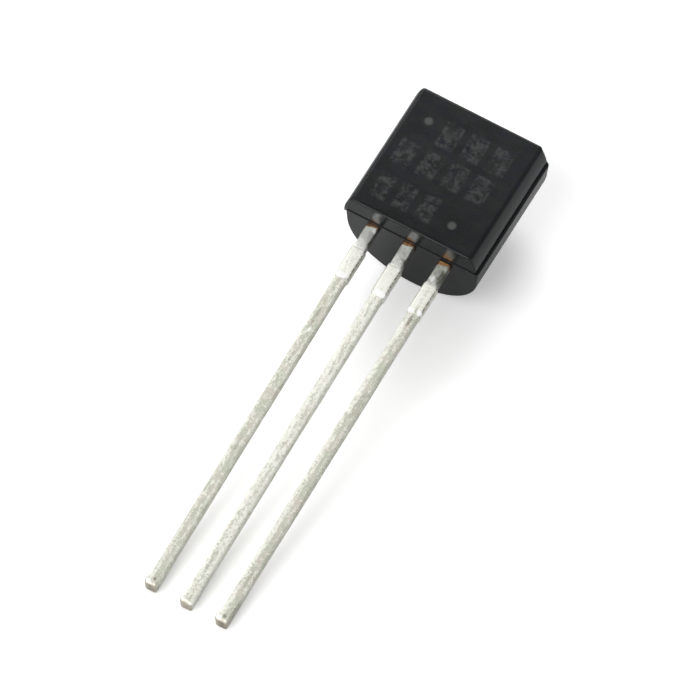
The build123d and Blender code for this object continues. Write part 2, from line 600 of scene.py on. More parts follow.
@dataclass(frozen=True)
class TinFinish(Finish):
    """Dull mottled tin plate, with bare copper where a lead leaves the moulding.

    The patterns follow each lead through the attribute lead_place: millimetres across and
    along the lead, and its depth with LEAD_STEP added for each lead's number.
    """

    name: str = "tin_plate"
    bright: Colour = (0.96, 0.96, 0.88, 1)
    green: Colour = (0.54, 0.57, 0.46, 1)
    rosy: Colour = (0.62, 0.59, 0.51, 1)
    stain: Colour = (0.17, 0.15, 0.11, 1)
    # Colour of the painted highlights
    painted_glint: Colour = (1.0, 1.0, 0.99, 1)
    cut_face: Colour = (0.50, 0.45, 0.37, 1)
    necked: Colour = (0.92, 0.93, 0.88, 1)
    # Painted shade on the neck, which also colours its mottled blots
    neck_dark: Colour = (0.26, 0.27, 0.22, 1)
    # Painted shade down the neck's right side
    flank: Colour = (0.060, 0.060, 0.052, 1)
    # Painted shade where the lead enters the moulding
    root: Colour = (0.045, 0.040, 0.035, 1)
    copper: Colour = (0.74, 0.39, 0.17, 1)
    copper_dark: Colour = (0.26, 0.14, 0.09, 1)
    metallic: float = 0.40
    neck_metallic: float = 0.60
    copper_metallic: float = 0.95
    roughness: Fade = Fade(0.40, 0.62, 0.36, 0.52)
    glint_gloss: float = -0.10
    neck_gloss: float = -0.06
    # Streaks, mottling and grain, how much each adds to the wear, and how deep each is
    streak: Grain = Grain(7.0, 3.0, 0.6, (1.0, 0.12, 1.0))
    mottle: Grain = Grain(9.0, 3.0, 0.7, (1.0, 0.5, 1.0))
    grain: Grain = Grain(19.0, 2.0, 0.7, (1.0, 0.8, 1.0))
    streak_weight: float = 0.28
    mottle_weight: float = 0.36
    grain_weight: float = 0.36
    streak_depth: float = 0.0025
    mottle_depth: float = 0.0040
    grain_depth: float = 0.0015
    # Darker middle, painted shade on the right half, and plain dam bar
    middle: Pair = (-0.03, 0.05)
    middle_blur: float = 0.08
    middle_darkening: float = 0.06
    right_half: Fade = Fade(-0.06, 0.03)
    bar_blur: float = 0.03
    bar_wear: float = -0.10
    dull_share: Fade = Fade(0.43, 0.60)
    cast: Grain = Grain(3.5, 2.0, 0.5, (1.0, 0.5, 1.0))
    cast_share: Fade = Fade(0.4, 0.6)
    tarnish: Grain = Grain(11.0, 3.0, 0.7, (1.0, 0.4, 1.0))
    tarnish_share: Fade = Fade(0.60, 0.78, 0.0, 0.55)
    ragged: Grain = Grain(16.0, 3.0, 0.7)
    ragged_share: Fade = Fade(0.35, 0.60, 0.35, 1.0)
    # Cut end
    cut_reach: float = 14.02
    cut_ripple: float = 0.10
    cut_start: float = 0.08
    cut_full: float = 0.01
    cut_strength: float = 0.85
    # Bare neck, with painted shade over it, in a patch on its right and down its right side
    neck_end: float = 0.93
    neck_ripple: float = 0.25
    neck_blur: Pair = (0.04, 0.05)
    patch_ripple: float = 0.30
    patch_slant: float = 0.12
    patch_side: Fade = Fade(0.12, 0.22, 0.46, 1.25)
    patch_run: Pair = (-0.82, -0.30)
    patch_blur: float = 0.12
    patch_outside: float = 0.45
    blot_level: float = 0.52
    blot_strength: float = 1.7
    flank_blur: Pair = (0.018, 0.006)
    flank_run: Fade = Fade(-0.86, -0.62)
    # Sheared sides of the dam bar's remains, with painted shade along their front edges
    burr_start: float = 0.90
    burr_end: float = 2.06
    burr_across: float = 0.172
    burr_blur: Pair = (0.015, 0.010)
    burr_end_blur: float = 0.02
    torn_front: Fade = Fade(-0.15, -0.05)
    torn_share: Fade = Fade(0.40, 0.54)
    drag: Grain = Grain(26.0, 2.0, 0.6, (1.0, 1.0, 0.12))
    drag_share: Fade = Fade(0.44, 0.66, 0.0, 0.35)
    # Bare copper at the root
    copper_slant: float = -0.22
    copper_wave: Grain = Grain(6.0, 3.0, 0.6)
    copper_wave_depth: float = 0.10
    copper_edge: Fade = Fade(0.03, 0.07)
    burnt_patches: Grain = Grain(9.0, 2.0, 0.5)
    burnt_share: Fade = Fade(0.35, 0.65, -0.3, 0.3)
    root_shade_edge: Fade = Fade(-0.008, 0.008)
    tones: tuple[LeadTone, ...] = (
        LeadTone(1, 0.030, 0.000, 0.02, 0.70, 0.100, 0.022, 0.85),
        LeadTone(2, -0.022, 0.008, 0.26, 0.45, 0.112, 0.030, 0.85),
        LeadTone(3, 0.000, 0.050, 1.00, 0.15, 0.175, 0.055, 0.45),
    )
    spot_core: float = 0.4
    spot_rim: float = 1.3
    stains: tuple[Spot, ...] = (
        Spot(1, -0.03, 3.62, 0.05, 0.40, 0.55),
        Spot(1, 0.02, 13.78, 0.045, 0.06, 1.0),
        Spot(1, 0.13, 2.02, 0.05, 0.06, 0.7),
        Spot(1, -0.02, 5.20, 0.05, 0.22, 0.30),
        Spot(1, 0.00, 8.60, 0.05, 0.30, 0.30),
        Spot(2, -0.15, 1.98, 0.04, 0.05, 0.6),
        Spot(2, -0.02, 12.60, 0.05, 0.40, 0.30),
        Spot(3, 0.02, 2.34, 0.06, 0.22, 0.75),
        Spot(3, 0.02, 13.80, 0.055, 0.07, 1.0),
        Spot(3, -0.12, 2.03, 0.04, 0.05, 0.6),
        Spot(3, 0.05, 5.60, 0.08, 0.60, 0.30),
        Spot(3, 0.04, 12.30, 0.05, 0.50, 0.30),
        Spot(1, 0.03, 14.05, 0.17, 0.05, 0.42),
        Spot(1, 0.15, 13.90, 0.05, 0.12, 0.45),
        Spot(3, 0.03, 14.05, 0.17, 0.06, 0.62),
        Spot(3, 0.18, 13.60, 0.04, 0.50, 0.45),
    )
    # Painted highlights where light glints off facets and tips
    glints: tuple[Spot, ...] = (
        Spot(1, 0.02, 4.12, 0.04, 0.10, 0.9),
        Spot(1, -0.11, 13.90, 0.06, 0.07, 1.0),
        Spot(2, -0.12, 13.88, 0.05, 0.05, 0.6),
        Spot(2, 0.10, 13.96, 0.04, 0.03, 0.7),
        Spot(3, -0.10, 13.90, 0.07, 0.08, 1.0),
        Spot(1, -0.04, 1.99, 0.22, 0.11, 0.9),
        Spot(2, 0.03, 1.98, 0.22, 0.12, 1.0),
        Spot(3, -0.12, 1.98, 0.10, 0.10, 1.0),
        Spot(3, 0.14, 1.96, 0.08, 0.08, 1.0),
        Spot(3, -0.06, 0.72, 0.05, 0.12, 0.8),
        Spot(1, 0.12, 1.16, 0.04, 0.05, 0.8),
        Spot(1, -0.08, 0.66, 0.05, 0.08, 0.7),
        Spot(2, 0.14, 1.02, 0.04, 0.05, 0.7),
    )

    def dress(self, bench: NodeBench, shader: bpy.types.Node) -> None:
        """Wire the tin's streaks, mottling, stains and bare copper, with painted highlights and painted
        shade.

        Args:
            bench: node helpers for this material.
            shader: the material's shader.
        """
        point = bench.point(bench.add("Attribute", attribute_name="lead_place").outputs["Vector"])
        streak = bench.noise(point.whole, self.streak)
        mottle = bench.noise(point.whole, self.mottle)
        grain = bench.noise(point.whole, self.grain)
        worn = bench.product(mottle, self.mottle_weight)
        worn = bench.math("MULTIPLY_ADD", streak, self.streak_weight, worn)
        worn = bench.math("MULTIPLY_ADD", grain, self.grain_weight, worn)
        tin = self.plating(bench, point, worn)
        necked = self.neck_share(bench, point, mottle)
        tin = bench.blend(necked, tin, self.neck_colour(bench, point, mottle))
        tin = bench.blend(self.cut_share(bench, point, mottle), tin, self.cut_face)
        ragged = bench.noise(point.whole, self.ragged)
        spots = self.spots(bench, self.stains, point)
        spots = bench.product(spots, bench.fade(ragged, self.ragged_share))
        # Stains, and painted shade along the dam bar's sheared edges
        stains_and_shade = bench.math("MAXIMUM", self.burr_shade_and_drag(bench, point, ragged), spots)
        tin = bench.blend(stains_and_shade, tin, self.stain)
        # Painted highlights: white, matt and smoother, so that they read as glints
        glint = self.spots(bench, self.glints, point)
        tin = bench.blend(glint, tin, self.painted_glint)
        bare = self.copper_share(bench, point)
        tin = bench.blend(bare, tin, self.copper_colour(bench, point))
        bench.feed(shader.inputs["Base Color"], tin)
        mirror = bench.ramp(necked, 0.0, 1.0, self.metallic, self.neck_metallic)
        mirror = bench.math("MAXIMUM", mirror, bench.product(bare, self.copper_metallic))
        matt = bench.math("SUBTRACT", 1.0, glint, clamp=True)
        bench.feed(shader.inputs["Metallic"], bench.product(mirror, matt))
        rough = bench.fade(worn, self.roughness)
        rough = bench.math("MULTIPLY_ADD", glint, self.glint_gloss, rough)
        rough = bench.math("MULTIPLY_ADD", necked, self.neck_gloss, rough)
        bench.feed(shader.inputs["Roughness"], rough)
        lumps = bench.bump(mottle, self.mottle_depth)
        lines = bench.bump(streak, self.streak_depth, lumps)
        bench.feed(shader.inputs["Normal"], bench.bump(grain, self.grain_depth, lines))

    def plating(self, bench: NodeBench, point: ShadedPoint, worn: Socket) -> Socket:
        """Colour the plating: bright tin, dulled and tarnished in patches, darker along its middle,
        with painted shade on its right half.

        Args:
            bench: node helpers for this material.
            point: place of the shaded point.
            worn: how worn the plating is there.

        Returns:
            The colour.
        """
        # Darker along the lead's middle
        middle = bench.window(point.across, *self.middle, self.middle_blur)
        wear = self.per_lead(bench, point, "wear")
        shade = bench.math("MULTIPLY_ADD", middle, self.middle_darkening, wear)
        # Painted shade on the lead's right half
        right = bench.fade(point.across, self.right_half)
        right_shade = self.per_lead(bench, point, "right_shade")
        shade = bench.math("MULTIPLY_ADD", right, right_shade, shade)
        bar = bench.window(point.along, -self.burr_end, -self.neck_end, self.bar_blur)
        shade = bench.math("MULTIPLY_ADD", bar, self.bar_wear, shade)
        cast = bench.fade(bench.noise(point.whole, self.cast), self.cast_share)
        dull = bench.blend(cast, self.green, self.rosy)
        dulled = bench.fade(bench.math("ADD", worn, shade), self.dull_share)
        tin = bench.blend(dulled, self.bright, dull)
        tarnish = bench.fade(bench.noise(point.whole, self.tarnish), self.tarnish_share)
        return bench.blend(tarnish, tin, self.stain)

    def per_lead(self, bench: NodeBench, point: ShadedPoint, field: str) -> Socket:
        """Look up one value of the leads' tones.

        Args:
            bench: node helpers for this material.
            point: place of the shaded point.
            field: name of the value in LeadTone.

        Returns:
            The value of the lead that is shaded.
        """
        total = 0.0
        for tone in self.tones:
            own = bench.math("COMPARE", point.out, LEAD_STEP * tone.lead, LEAD_STEP / 4)
            total = bench.math("MULTIPLY_ADD", own, getattr(tone, field), total)
        return total

    def rippled(self, bench: NodeBench, point: ShadedPoint, mottle: Socket, ripple: float) -> Socket:
        """Return the place along the lead, moved to and fro by the mottling."""
        centred = bench.math("SUBTRACT", point.along, ripple / 2)
        return bench.math("MULTIPLY_ADD", mottle, ripple, centred)

    def neck_share(self, bench: NodeBench, point: ShadedPoint, mottle: Socket) -> Socket:
        """Mask the bare neck between the moulding and the dam bar.

        Args:
            bench: node helpers for this material.
            point: place of the shaded point.
            mottle: the plating's mottling.

        Returns:
            1 on the neck, and 0 past it.
        """
        past, before = self.neck_blur
        neck = self.rippled(bench, point, mottle, self.neck_ripple)
        return bench.ramp(neck, -self.neck_end - past, -self.neck_end + before)

    def cut_share(self, bench: NodeBench, point: ShadedPoint, mottle: Socket) -> Socket:
        """Mask the lead's cut end.

        Args:
            bench: node helpers for this material.
            point: place of the shaded point.
            mottle: the plating's mottling.

        Returns:
            The mask.
        """
        end = self.rippled(bench, point, mottle, self.cut_ripple)
        start, full = self.cut_start - self.cut_reach, self.cut_full - self.cut_reach
        return bench.ramp(end, start, full, 0.0, self.cut_strength)

    def neck_colour(self, bench: NodeBench, point: ShadedPoint, mottle: Socket) -> Socket:
        """Colour the neck: grey and mottled, with painted shade over it, most in a patch on its right,
        and painted shade down its right side.

        Args:
            bench: node helpers for this material.
            point: place of the shaded point.
            mottle: the plating's mottling.

        Returns:
            The colour.
        """
        # Painted shade: a darker patch on the neck's right, weaker elsewhere on the neck
        side = bench.math("MULTIPLY_ADD", point.along, self.patch_slant, point.across)
        side = bench.math("MULTIPLY_ADD", mottle, self.patch_ripple, side)
        patch = bench.math("SUBTRACT", bench.fade(side, self.patch_side), self.patch_outside)
        inner = bench.window(point.along, *self.patch_run, self.patch_blur)
        patch = bench.math("MULTIPLY_ADD", inner, patch, self.patch_outside)
        share = bench.product(patch, self.per_lead(bench, point, "neck_painted_shade"))
        blot = bench.product(bench.math("SUBTRACT", mottle, self.blot_level), self.blot_strength)
        grey = bench.blend(bench.math("ADD", share, blot, clamp=True), self.necked, self.neck_dark)
        # Painted shade down the neck's right side
        before, past = self.flank_blur
        edge = bench.ramp(point.across, self.burr_across - before, self.burr_across + past)
        run = bench.fade(point.along, self.flank_run)
        flank = bench.product(edge, self.per_lead(bench, point, "flank"), run)
        return bench.blend(flank, grey, self.flank)

    def burr_shade_and_drag(self, bench: NodeBench, point: ShadedPoint, ragged: Socket) -> Socket:
        """Mask the sheared sides of the dam bar's remains: painted shade along their jagged front
        edges, and fine drag lines.

        Args:
            bench: node helpers for this material.
            point: place of the shaded point.
            ragged: noise that breaks up the torn edges.

        Returns:
            The mask.
        """
        before, past = self.burr_blur
        side = bench.math("ABSOLUTE", point.across)
        side = bench.ramp(side, self.burr_across - before, self.burr_across + past)
        run = bench.window(point.along, -self.burr_end, -self.burr_start, self.burr_end_blur)
        below = bench.math("WRAP", point.out, LEAD_STEP / 2, -LEAD_STEP / 2)
        # Painted shade along the front edges of the sheared sides
        torn = bench.product(bench.fade(below, self.torn_front), bench.fade(ragged, self.torn_share))
        drag = bench.fade(bench.noise(point.whole, self.drag), self.drag_share)
        return bench.product(bench.product(side, run), bench.math("MAXIMUM", torn, drag))

    def copper_share(self, bench: NodeBench, point: ShadedPoint) -> Socket:
        """Mask the bare copper, from the moulding to a slanted wavy edge.

        Args:
            bench: node helpers for this material.
            point: place of the shaded point.

        Returns:
            1 where the copper is bare.
        """
        wave = bench.noise(point.whole, self.copper_wave)
        edge = bench.math("MULTIPLY_ADD", point.across, self.copper_slant, point.along)
        edge = bench.math("MULTIPLY_ADD", wave, self.copper_wave_depth, edge)
        edge = bench.math("ADD", edge, self.per_lead(bench, point, "copper_reach"))
        return bench.fade(edge, self.copper_edge)

    def copper_colour(self, bench: NodeBench, point: ShadedPoint) -> Socket:
        """Colour the copper, burnt to a different depth on each lead, and the painted shade at its
        root.

        Args:
            bench: node helpers for this material.
            point: place of the shaded point.

        Returns:
            The colour.
        """
        patchy = bench.fade(bench.noise(point.whole, self.burnt_patches), self.burnt_share)
        burnt = bench.math("ADD", patchy, self.per_lead(bench, point, "burnt"), clamp=True)
        band = bench.blend(burnt, self.copper, self.copper_dark)
        # Painted shade round the root, where the lead enters the moulding
        root = bench.math("ADD", point.along, self.per_lead(bench, point, "root_shade_reach"))
        return bench.blend(bench.fade(root, self.root_shade_edge), band, self.root)

    def spots(self, bench: NodeBench, spots: tuple[Spot, ...], point: ShadedPoint) -> Socket:
        """Mask soft oval spots, each on its own lead.

        Args:
            bench: node helpers for this material.
            spots: the spots.
            point: place of the shaded point.

        Returns:
            The mask.
        """
        mask = 0.0
        for spot in spots:
            side = bench.math("DIVIDE", bench.math("SUBTRACT", point.across, spot.across), spot.width)
            run = bench.math("DIVIDE", bench.math("ADD", point.along, spot.reach), spot.length)
            squares = bench.math("MULTIPLY_ADD", side, side, bench.product(run, run))
            oval = bench.ramp(squares, self.spot_core, self.spot_rim, spot.depth, 0.0)
            own = bench.math("COMPARE", point.out, LEAD_STEP * spot.lead, LEAD_STEP / 4)
            mask = bench.math("MULTIPLY_ADD", oval, own, mask)
        return mask


@dataclass(frozen=True)
class SealedMetal(Finish):
    """Even metal with fine variation, for what is sealed in the moulding."""

    colour: Colour = (0.7, 0.7, 0.7, 1)
    roughness: float = 0.35
    roughness_spread: float = 0.1
    shade: float = 0.8
    grain: Grain = Grain(12.0, 3.0, 0.6)
    grain_range: Pair = (0.3, 0.7)
    grain_depth: float = 0.002

    def dress(self, bench: NodeBench, shader: bpy.types.Node) -> None:
        """Wire the metal's colour and its fine grain.

        Args:
            bench: node helpers for this material.
            shader: the material's shader.
        """
        grain = bench.noise(bench.millimetres(), self.grain)
        darker = tuple(channel * self.shade for channel in self.colour[:3]) + (1,)
        bench.feed(shader.inputs["Base Color"], bench.blend(grain, darker, self.colour))
        shader.inputs["Metallic"].default_value = 1.0
        dullest = self.roughness + self.roughness_spread
        rough = bench.ramp(grain, *self.grain_range, self.roughness, dullest)
        bench.feed(shader.inputs["Roughness"], rough)
        bench.feed(shader.inputs["Normal"], bench.bump(grain, self.grain_depth))


# ------------------------------------------------------------------ making pieces
def edges_of(geometry: Geometry) -> list[bmesh.types.BMEdge]:
    """Return only the edges of an operator's result."""
    return [item for item in geometry if isinstance(item, bmesh.types.BMEdge)]


def verts_of(geometry: Geometry) -> list[bmesh.types.BMVert]:
    """Return only the vertices of an operator's result."""
    return [item for item in geometry if isinstance(item, bmesh.types.BMVert)]


def cut_across(
    shape: bmesh.types.BMesh, place: Point, normal: Point, clear_outer: bool = False
) -> list[bmesh.types.BMEdge]:
    """Add an edge loop where a plane crosses a shape.

    Args:
        shape: the shape to cut.
        place: a point of the plane.
        normal: the plane's normal.
        clear_outer: whether what lies on the normal's side of the plane is cut away.

    Returns:
        The new loop's edges.
    """
    cut = bmesh.ops.bisect_plane(
        shape,
        geom=shape.verts[:] + shape.edges[:] + shape.faces[:],
        plane_co=place,
        plane_no=normal,
        clear_outer=clear_outer,
        dist=CUT_NEAR,
    )
    return edges_of(cut["geom_cut"])


def round_edges(
    shape: bmesh.types.BMesh, edges: list[bmesh.types.BMEdge], radius: float, segments: int
) -> None:
    """Round some edges of a shape.

    Args:
        shape: the shape to change.
        edges: the edges to round.
        radius: the rounding's radius.
        segments: number of faces across the rounding.
    """
    bmesh.ops.bevel(
        shape,
        geom=edges,
        offset=radius,
        offset_type="OFFSET",
        affect="EDGES",
        segments=segments,
        profile=0.5,
        material=-1,
        clamp_overlap=True,
    )


def join_shape(shape: bmesh.types.BMesh, other: bmesh.types.BMesh) -> None:
    """Put one shape's points and faces into another shape.

    Args:
        shape: the shape that takes them.
        other: the shape that gives them, which is freed.
    """
    scratch = bpy.data.meshes.new("scratch")
    other.to_mesh(scratch)
    other.free()
    shape.from_mesh(scratch)
    bpy.data.meshes.remove(scratch)


def finish_piece(
    name: str, shape: bmesh.types.BMesh, package: PackageFrame, finish: Finish, sharp_degrees: float
) -> bpy.types.Object:
    """Turn a shape in package millimetres into a dressed piece in the row frame.

    Args:
        name: the piece's name.
        shape: the finished shape, which is freed.
        package: place of the package.
        finish: the piece's finish.
        sharp_degrees: edges that turn by more than this stay sharp.

    Returns:
        The new piece, riding on the root body.
    """
    bmesh.ops.recalc_face_normals(shape, faces=shape.faces)
    shape.transform(package.matrix())
    mesh = bpy.data.meshes.new(name)
    shape.to_mesh(mesh)
    shape.free()
    mesh.shade_smooth()
    mesh.set_sharp_from_angle(angle=math.radians(sharp_degrees))
    mesh.materials.append(finish.material(package))
    piece = bpy.data.objects.new(name, mesh)
    bpy.context.scene.collection.objects.link(piece)
    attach(piece, ROOT)
    return piece


class SectionTrace:
    """Traces the closed outline of a cross-section, in the plane across the leads."""

    def __init__(self, shape: bmesh.types.BMesh, x: float, z: float) -> None:
        """Start an outline.

        Args:
            shape: the shape that the outline goes into.
            x: start, across the leads.
            z: start, out of the parting plane.
        """
        self.shape = shape
        self.tip = bmesh.ops.create_vert(shape, co=(x, 0, z))["vert"][0]

    def line(self, x: float, z: float) -> None:
        """Draw a straight line.

        Args:
            x: its end, across the leads.
            z: its end, out of the parting plane.
        """
        made = bmesh.ops.extrude_vert_indiv(self.shape, verts=[self.tip])
        self.tip = made["verts"][0]
        self.tip.co = (x, 0, z)

    def arc(self, centre_x: float, centre_z: float, degrees: float, steps: int) -> None:
        """Draw an arc.

        Args:
            centre_x: its centre, across the leads.
            centre_z: its centre, out of the parting plane.
            degrees: its angle, positive from +x towards -z.
            steps: number of straight steps that it is made of.
        """
        made = bmesh.ops.spin(
            self.shape,
            geom=[self.tip],
            cent=(centre_x, 0, centre_z),
            axis=(0, 1, 0),
            angle=math.radians(degrees),
            steps=steps,
        )
        self.tip = verts_of(made["geom_last"])[0]

    def close(self) -> bmesh.types.BMFace:
        """Join the outline's ends and fill it.

        Returns:
            The filled face.
        """
        bmesh.ops.remove_doubles(self.shape, verts=self.shape.verts, dist=NEAR)
        open_ends = [vertex for vertex in self.shape.verts if len(vertex.link_edges) == 1]
        if len(open_ends) == 2:
            bmesh.ops.contextual_create(self.shape, geom=open_ends)
        filled = bmesh.ops.contextual_create(self.shape, geom=self.shape.edges[:])
        return filled["faces"][0]


@dataclass
class MouldedBody:
    """The epoxy moulding: a flat front half and a round back half with a slight mismatch.

    Lengths are in millimetres, and drafts in degrees.
    """

    body_width: float = 4.63
    body_height: float = 4.55
    body_offset: float = 0.0325
    front_depth: float = 0.72
    back_wall: float = 0.48
    back_wall_draft: float = 3.5
    front_side_radius: float = 2.30
    flat_inset: float = 0.22
    front_draft: float = 1.0
    back_draft: float = 1.7
    mould_shift: float = 0.085
    mould_step: float = 0.028
    flat_side_fillet: float = 0.15
    front_rim: float = 0.05
    back_rim: float = 0.09
    # The rings of the rounded ends hold these two down to 0.001, so the edges stay crisp
    front_parting_edge: float = 0.035
    back_parting_edge: float = 0.008
    back_side_edge: float = 0.065
    top_corner: float = 0.14
    low_corner: float = 0.05
    flash_length: float = 0.17
    flash_drop: float = 0.13
    flash_height: float = 0.05
    flash_steepness: float = 1.6
    # Straight steps in each arc of the cross-sections, and angles of the rings in the rounded ends
    side_steps: int = 8
    fillet_steps: int = 6
    back_edge_steps: int = 5
    back_steps: int = 96
    front_parting_steps: int = 3
    back_parting_steps: int = 4
    ring_degrees: tuple[int, ...] = (0, 15, 30, 45, 60, 75)
    # Parting edges that run across the leads rise and fall by less than this
    level: float = 0.2
    sharp_degrees: float = 40.0
    finish: EpoxyFinish = EpoxyFinish()

    @property
    def front_left(self) -> float:
        """Return the front half's left edge, on the parting plane."""
        return self.body_offset - self.mould_shift / 2 - self.body_width / 2

    def package(self) -> PackageFrame:
        """Return the package's place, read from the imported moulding."""
        return PackageFrame.from_frame(self.front_left, -self.mould_step / 2, self.front_depth)

    def front_half(self) -> bmesh.types.BMesh:
        """Make the front half, from the parting plane to the flat marked face.

        Returns:
            The half's shape.
        """
        shape = bmesh.new()
        middle = self.body_offset - self.mould_shift / 2
        half = self.body_width / 2
        depth, radius, fillet = self.front_depth, self.front_side_radius, self.flat_side_fillet
        # The bulged side is an arc through the parting edge and the flat's edge
        chord = math.hypot(self.flat_inset, depth)
        inwards = math.sqrt(radius**2 - chord**2 / 4)
        centre_x = half - self.flat_inset / 2 - inwards * depth / chord
        centre_z = depth / 2 - inwards * self.flat_inset / chord
        fillet_z = depth - fillet
        fillet_x = centre_x + math.sqrt((radius - fillet) ** 2 - (fillet_z - centre_z) ** 2)
        start = math.degrees(math.atan2(-centre_z, half - centre_x))
        meet = math.degrees(math.atan2(fillet_z - centre_z, fillet_x - centre_x))
        trace = SectionTrace(shape, middle + half, 0)
        trace.arc(middle + centre_x, centre_z, start - meet, self.side_steps)
        trace.arc(middle + fillet_x, fillet_z, meet - 90, self.fillet_steps)
        trace.line(middle - fillet_x, depth)
        trace.arc(middle - fillet_x, fillet_z, meet - 90, self.fillet_steps)
        trace.arc(middle - centre_x, centre_z, start - meet, self.side_steps)
        self.raise_half(shape, trace.close(), self.mould_step / 2)
        self.round_ends(shape, self.mould_step / 2, self.front_rim, 1)
        self.draft_ends(shape, self.mould_step / 2, math.tan(math.radians(self.front_draft)))
        edges = self.parting_edges(shape)
        round_edges(shape, edges, self.front_parting_edge, self.front_parting_steps)
        self.add_flash(shape)
        return shape

    def back_half(self) -> bmesh.types.BMesh:
        """Make the back half: drafted walls that run into a round back.

        Returns:
            The half's shape.
        """
        shape = bmesh.new()
        middle = self.body_offset + self.mould_shift / 2
        half = self.body_width / 2
        lean = math.radians(self.back_wall_draft)
        radius = (half - self.back_wall * math.tan(lean)) * math.cos(lean)
        edge = self.back_side_edge
        edge_x = half - edge * (math.tan(lean) + 1 / math.cos(lean))
        meet_x, meet_z = edge_x + edge * math.cos(lean), -edge * (1 + math.sin(lean))
        trace = SectionTrace(shape, middle + edge_x, 0)
        trace.arc(middle + edge_x, -edge, 90 + self.back_wall_draft, self.back_edge_steps)
        trace.line(middle + radius * math.cos(lean), -self.back_wall - radius * math.sin(lean))
        trace.arc(middle, -self.back_wall, 180 - 2 * self.back_wall_draft, self.back_steps)
        trace.line(middle - meet_x, meet_z)
        trace.arc(middle - edge_x, -edge, 90 + self.back_wall_draft, self.back_edge_steps)
        self.raise_half(shape, trace.close(), -self.mould_step / 2)
        self.round_ends(shape, -self.mould_step / 2, self.back_rim, -1)
        self.draft_ends(shape, -self.mould_step / 2, -math.tan(math.radians(self.back_draft)))
        ends = [
            edge
            for edge in self.parting_edges(shape)
            if abs(edge.verts[0].co.y - edge.verts[1].co.y) < self.level
        ]
        round_edges(shape, ends, self.back_parting_edge, self.back_parting_steps)
        return shape

    def raise_half(
        self, shape: bmesh.types.BMesh, section: bmesh.types.BMFace, start: float
    ) -> None:
        """Stretch a section along the leads' direction, from its lower end.

        Args:
            shape: the half's shape.
            section: the half's filled cross-section, in the plane y = 0.
            start: place of the lower end, in y.
        """
        bmesh.ops.translate(shape, vec=(0, start, 0), verts=shape.verts)
        raised = bmesh.ops.extrude_face_region(shape, geom=[section], use_keep_orig=True)
        bmesh.ops.translate(shape, vec=(0, self.body_height, 0), verts=verts_of(raised["geom"]))
        bmesh.ops.recalc_face_normals(shape, faces=shape.faces)

    def round_ends(self, shape: bmesh.types.BMesh, start: float, rim: float, side: int) -> None:
        """Round the rims of a half's two ends, and its corners seen square on to the flat face.

        Args:
            shape: the half's shape.
            start: place of its lower end, in y.
            rim: radius of the rims along the flat face or the round back.
            side: 1 for the half in front of the parting plane, and -1 for the one behind it.
        """
        end = start + self.body_height
        for corner, low in ((self.low_corner, True), (self.top_corner, False)):
            for angle in self.ring_degrees:
                reach = max(corner, rim) * (1 - math.sin(math.radians(angle)))
                cut_across(shape, (0, start + reach if low else end - reach, 0), (0, 1, 0))
            shape.normal_update()
            moves = []
            for vertex in shape.verts:
                reach = max(0.0, vertex.co.y - start if low else end - vertex.co.y)
                outwards = self.outwards(vertex, side)
                radius = rim + (corner - rim) * outwards.x**2
                if reach < radius:
                    inset = radius - math.sqrt(radius**2 - (radius - reach) ** 2)
                    moves.append((vertex, outwards * inset))
            for vertex, move in moves:
                vertex.co -= move
        shape.normal_update()

    def outwards(self, vertex: bmesh.types.BMVert, side: int) -> Vector:
        """Return the direction out of a half's cross-section, at one of its outer points.

        Args:
            vertex: the point.
            side: 1 for the half in front of the parting plane, and -1 for the one behind it.

        Returns:
            The unit direction, which never leans towards the parting plane.
        """
        total = Vector()
        for face in vertex.link_faces:
            parting = max(abs(corner.co.z) for corner in face.verts) < NEAR
            if abs(face.normal.y) < 0.5 and not parting:
                total += face.normal
        total.y = 0.0
        if total.z * side < 0 or abs(vertex.co.z) < NEAR:
            total.z = 0.0
        return total.normalized()

    def draft_ends(self, shape: bmesh.types.BMesh, start: float, slope: float) -> None:
        """Slope both ends of a half, so that it narrows away from the parting plane.

        Args:
            shape: the half's shape.
            start: place of its lower end, in y.
            slope: how far the ends draw in for each millimetre of height.
        """
        middle = start + self.body_height / 2
        for vertex in shape.verts:
            inwards = 1.0 if vertex.co.y < middle else -1.0
            vertex.co.y += inwards * slope * vertex.co.z
        shape.normal_update()

    def parting_edges(self, shape: bmesh.types.BMesh) -> list[bmesh.types.BMEdge]:
        """Return the outer edges of a half, on the parting plane."""
        return [edge for edge in shape.edges if max(abs(end.co.z) for end in edge.verts) < NEAR]

    def add_flash(self, shape: bmesh.types.BMesh) -> None:
        """Hang a little flash under the front half's overhanging lower left corner.

        Args:
            shape: the front half's shape.
        """
        start = self.mould_step / 2
        cut_across(shape, (0, start + self.flash_length, 0), (0, 1, 0))
        cut_across(shape, (self.front_left + self.flash_length, 0, 0), (1, 0, 0))
        for vertex in shape.verts:
            if vertex.co.z < self.flash_height:
                reach_x = max(0.0, 1.0 - (vertex.co.x - self.front_left) / self.flash_length)
                reach_y = max(0.0, 1.0 - (vertex.co.y - start) / self.flash_length)
                share = min(1.0, self.flash_steepness * min(reach_x, reach_y))
                vertex.co.z -= self.flash_drop * share

    def build(self, package: PackageFrame) -> bpy.types.Object:
        """Build and dress the moulding.

        Args:
            package: place of the package.

        Returns:
            The piece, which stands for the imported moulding.
        """
        shape = self.front_half()
        join_shape(shape, self.back_half())
        piece = finish_piece("epoxy_moulding", shape, package, self.finish, self.sharp_degrees)
        smooth = piece.modifiers.new("weighted", "WEIGHTED_NORMAL")
        smooth.keep_sharp = True
        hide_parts("moulded_body")
        return piece


@dataclass(frozen=True)
class Crease:
    """A slanted facet that a press tool left on a lead's front, just outside the moulding.

    Attributes:
        near_y: where the facet starts, as a distance from the moulding.
        far_y: where the facet ends.
        near_x: side of the crease line at its start, from the lead's middle.
        far_x: side of the crease line at its end.
        slope: how steeply the facet falls to the right.
    """

    near_y: float
    far_y: float
    near_x: float
    far_x: float
    slope: float


